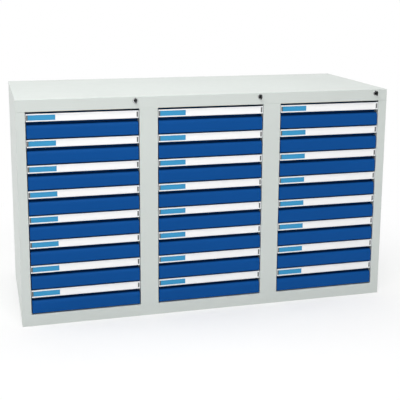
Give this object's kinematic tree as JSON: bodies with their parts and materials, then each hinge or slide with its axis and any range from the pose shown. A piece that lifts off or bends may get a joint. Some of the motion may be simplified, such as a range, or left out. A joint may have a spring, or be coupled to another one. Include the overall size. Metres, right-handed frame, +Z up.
{
  "type": "multi-drawer cabinet",
  "caption": "Free-standing steel drawer cabinet: bays of shallow full-width drawers with label strips that are the grips, and a lock over each bay.",
  "frame": {"origin": "centre of the underside, on the floor", "axes": "+X to the right seen from the front, +Z up, the drawers open towards -Y"},
  "size_m": [1.5, 0.6193, 0.884],
  "materials": {
    "body_grey": "light grey powder coat, satin, fine texture",
    "drawer_blue": "blue powder coat, satin",
    "label_white": "white plastic grip profile with a white label card",
    "zinc_steel": "zinc-plated sheet steel",
    "lock_nickel": "dark nickel plate, turned",
    "lock_dark": "black nickel lock plug and key"
  },
  "bodies": {
    "carcass": {"casing": "body_grey", "back_panel": "body_grey", "top_cover": "body_grey", "front_frame": "body_grey", "runner_frames": "zinc_steel", "lock_housings": "lock_nickel"},
    "drawer_body_11": {"drawer_11": "drawer_blue", "label_strip_11": "label_white"},
    "drawer_body_12": {"drawer_12": "drawer_blue", "label_strip_12": "label_white"},
    "drawer_body_13": {"drawer_13": "drawer_blue", "label_strip_13": "label_white"},
    "drawer_body_14": {"drawer_14": "drawer_blue", "label_strip_14": "label_white"},
    "drawer_body_15": {"drawer_15": "drawer_blue", "label_strip_15": "label_white"},
    "drawer_body_16": {"drawer_16": "drawer_blue", "label_strip_16": "label_white"},
    "drawer_body_17": {"drawer_17": "drawer_blue", "label_strip_17": "label_white"},
    "drawer_body_18": {"drawer_18": "drawer_blue", "label_strip_18": "label_white"},
    "drawer_body_21": {"drawer_21": "drawer_blue", "label_strip_21": "label_white"},
    "drawer_body_22": {"drawer_22": "drawer_blue", "label_strip_22": "label_white"},
    "drawer_body_23": {"drawer_23": "drawer_blue", "label_strip_23": "label_white"},
    "drawer_body_24": {"drawer_24": "drawer_blue", "label_strip_24": "label_white"},
    "drawer_body_25": {"drawer_25": "drawer_blue", "label_strip_25": "label_white"},
    "drawer_body_26": {"drawer_26": "drawer_blue", "label_strip_26": "label_white"},
    "drawer_body_27": {"drawer_27": "drawer_blue", "label_strip_27": "label_white"},
    "drawer_body_28": {"drawer_28": "drawer_blue", "label_strip_28": "label_white"},
    "drawer_body_31": {"drawer_31": "drawer_blue", "label_strip_31": "label_white"},
    "drawer_body_32": {"drawer_32": "drawer_blue", "label_strip_32": "label_white"},
    "drawer_body_33": {"drawer_33": "drawer_blue", "label_strip_33": "label_white"},
    "drawer_body_34": {"drawer_34": "drawer_blue", "label_strip_34": "label_white"},
    "drawer_body_35": {"drawer_35": "drawer_blue", "label_strip_35": "label_white"},
    "drawer_body_36": {"drawer_36": "drawer_blue", "label_strip_36": "label_white"},
    "drawer_body_37": {"drawer_37": "drawer_blue", "label_strip_37": "label_white"},
    "drawer_body_38": {"drawer_38": "drawer_blue", "label_strip_38": "label_white"},
    "lock_cylinder_body_1": {"lock_cylinder_1": "lock_dark"},
    "lock_bar_body_1": {"lock_bar_1": "zinc_steel"},
    "lock_cylinder_body_2": {"lock_cylinder_2": "lock_dark"},
    "lock_bar_body_2": {"lock_bar_2": "zinc_steel"},
    "lock_cylinder_body_3": {"lock_cylinder_3": "lock_dark"},
    "lock_bar_body_3": {"lock_bar_3": "zinc_steel"}
  },
  "joints": [
    {"name": "drawer_slide_11", "type": "slide", "parent": "carcass", "child": "drawer_body_11", "axis": [0, -1, 0], "range_m": [0, 0.42]},
    {"name": "drawer_slide_12", "type": "slide", "parent": "carcass", "child": "drawer_body_12", "axis": [0, -1, 0], "range_m": [0, 0.42]},
    {"name": "drawer_slide_13", "type": "slide", "parent": "carcass", "child": "drawer_body_13", "axis": [0, -1, 0], "range_m": [0, 0.42]},
    {"name": "drawer_slide_14", "type": "slide", "parent": "carcass", "child": "drawer_body_14", "axis": [0, -1, 0], "range_m": [0, 0.42]},
    {"name": "drawer_slide_15", "type": "slide", "parent": "carcass", "child": "drawer_body_15", "axis": [0, -1, 0], "range_m": [0, 0.42]},
    {"name": "drawer_slide_16", "type": "slide", "parent": "carcass", "child": "drawer_body_16", "axis": [0, -1, 0], "range_m": [0, 0.42]},
    {"name": "drawer_slide_17", "type": "slide", "parent": "carcass", "child": "drawer_body_17", "axis": [0, -1, 0], "range_m": [0, 0.42]},
    {"name": "drawer_slide_18", "type": "slide", "parent": "carcass", "child": "drawer_body_18", "axis": [0, -1, 0], "range_m": [0, 0.42]},
    {"name": "drawer_slide_21", "type": "slide", "parent": "carcass", "child": "drawer_body_21", "axis": [0, -1, 0], "range_m": [0, 0.42]},
    {"name": "drawer_slide_22", "type": "slide", "parent": "carcass", "child": "drawer_body_22", "axis": [0, -1, 0], "range_m": [0, 0.42]},
    {"name": "drawer_slide_23", "type": "slide", "parent": "carcass", "child": "drawer_body_23", "axis": [0, -1, 0], "range_m": [0, 0.42]},
    {"name": "drawer_slide_24", "type": "slide", "parent": "carcass", "child": "drawer_body_24", "axis": [0, -1, 0], "range_m": [0, 0.42]},
    {"name": "drawer_slide_25", "type": "slide", "parent": "carcass", "child": "drawer_body_25", "axis": [0, -1, 0], "range_m": [0, 0.42]},
    {"name": "drawer_slide_26", "type": "slide", "parent": "carcass", "child": "drawer_body_26", "axis": [0, -1, 0], "range_m": [0, 0.42]},
    {"name": "drawer_slide_27", "type": "slide", "parent": "carcass", "child": "drawer_body_27", "axis": [0, -1, 0], "range_m": [0, 0.42]},
    {"name": "drawer_slide_28", "type": "slide", "parent": "carcass", "child": "drawer_body_28", "axis": [0, -1, 0], "range_m": [0, 0.42]},
    {"name": "drawer_slide_31", "type": "slide", "parent": "carcass", "child": "drawer_body_31", "axis": [0, -1, 0], "range_m": [0, 0.42]},
    {"name": "drawer_slide_32", "type": "slide", "parent": "carcass", "child": "drawer_body_32", "axis": [0, -1, 0], "range_m": [0, 0.42]},
    {"name": "drawer_slide_33", "type": "slide", "parent": "carcass", "child": "drawer_body_33", "axis": [0, -1, 0], "range_m": [0, 0.42]},
    {"name": "drawer_slide_34", "type": "slide", "parent": "carcass", "child": "drawer_body_34", "axis": [0, -1, 0], "range_m": [0, 0.42]},
    {"name": "drawer_slide_35", "type": "slide", "parent": "carcass", "child": "drawer_body_35", "axis": [0, -1, 0], "range_m": [0, 0.42]},
    {"name": "drawer_slide_36", "type": "slide", "parent": "carcass", "child": "drawer_body_36", "axis": [0, -1, 0], "range_m": [0, 0.42]},
    {"name": "drawer_slide_37", "type": "slide", "parent": "carcass", "child": "drawer_body_37", "axis": [0, -1, 0], "range_m": [0, 0.42]},
    {"name": "drawer_slide_38", "type": "slide", "parent": "carcass", "child": "drawer_body_38", "axis": [0, -1, 0], "range_m": [0, 0.42]},
    {"name": "lock_turn_1", "type": "hinge", "parent": "carcass", "child": "lock_cylinder_body_1", "pos_m": [-0.301, -0.3, 0.8685], "axis": [0, -1, 0], "range_deg": [0, 90]},
    {"name": "lock_bar_lift_1", "type": "slide", "parent": "carcass", "child": "lock_bar_body_1", "axis": [0, 0, 1], "range_m": [0, 0.0113]},
    {"name": "lock_turn_2", "type": "hinge", "parent": "carcass", "child": "lock_cylinder_body_2", "pos_m": [0.199, -0.3, 0.8685], "axis": [0, -1, 0], "range_deg": [0, 90]},
    {"name": "lock_bar_lift_2", "type": "slide", "parent": "carcass", "child": "lock_bar_body_2", "axis": [0, 0, 1], "range_m": [0, 0.0113]},
    {"name": "lock_turn_3", "type": "hinge", "parent": "carcass", "child": "lock_cylinder_body_3", "pos_m": [0.699, -0.3, 0.8685], "axis": [0, -1, 0], "range_deg": [0, 90]},
    {"name": "lock_bar_lift_3", "type": "slide", "parent": "carcass", "child": "lock_bar_body_3", "axis": [0, 0, 1], "range_m": [0, 0.0113]}
  ],
  "couplings": [
    {"joint": "lock_turn_1", "follows": "lock_bar_lift_1", "rad_per_m": 138.84},
    {"joint": "lock_turn_2", "follows": "lock_bar_lift_2", "rad_per_m": 138.84},
    {"joint": "lock_turn_3", "follows": "lock_bar_lift_3", "rad_per_m": 138.84}
  ]
}
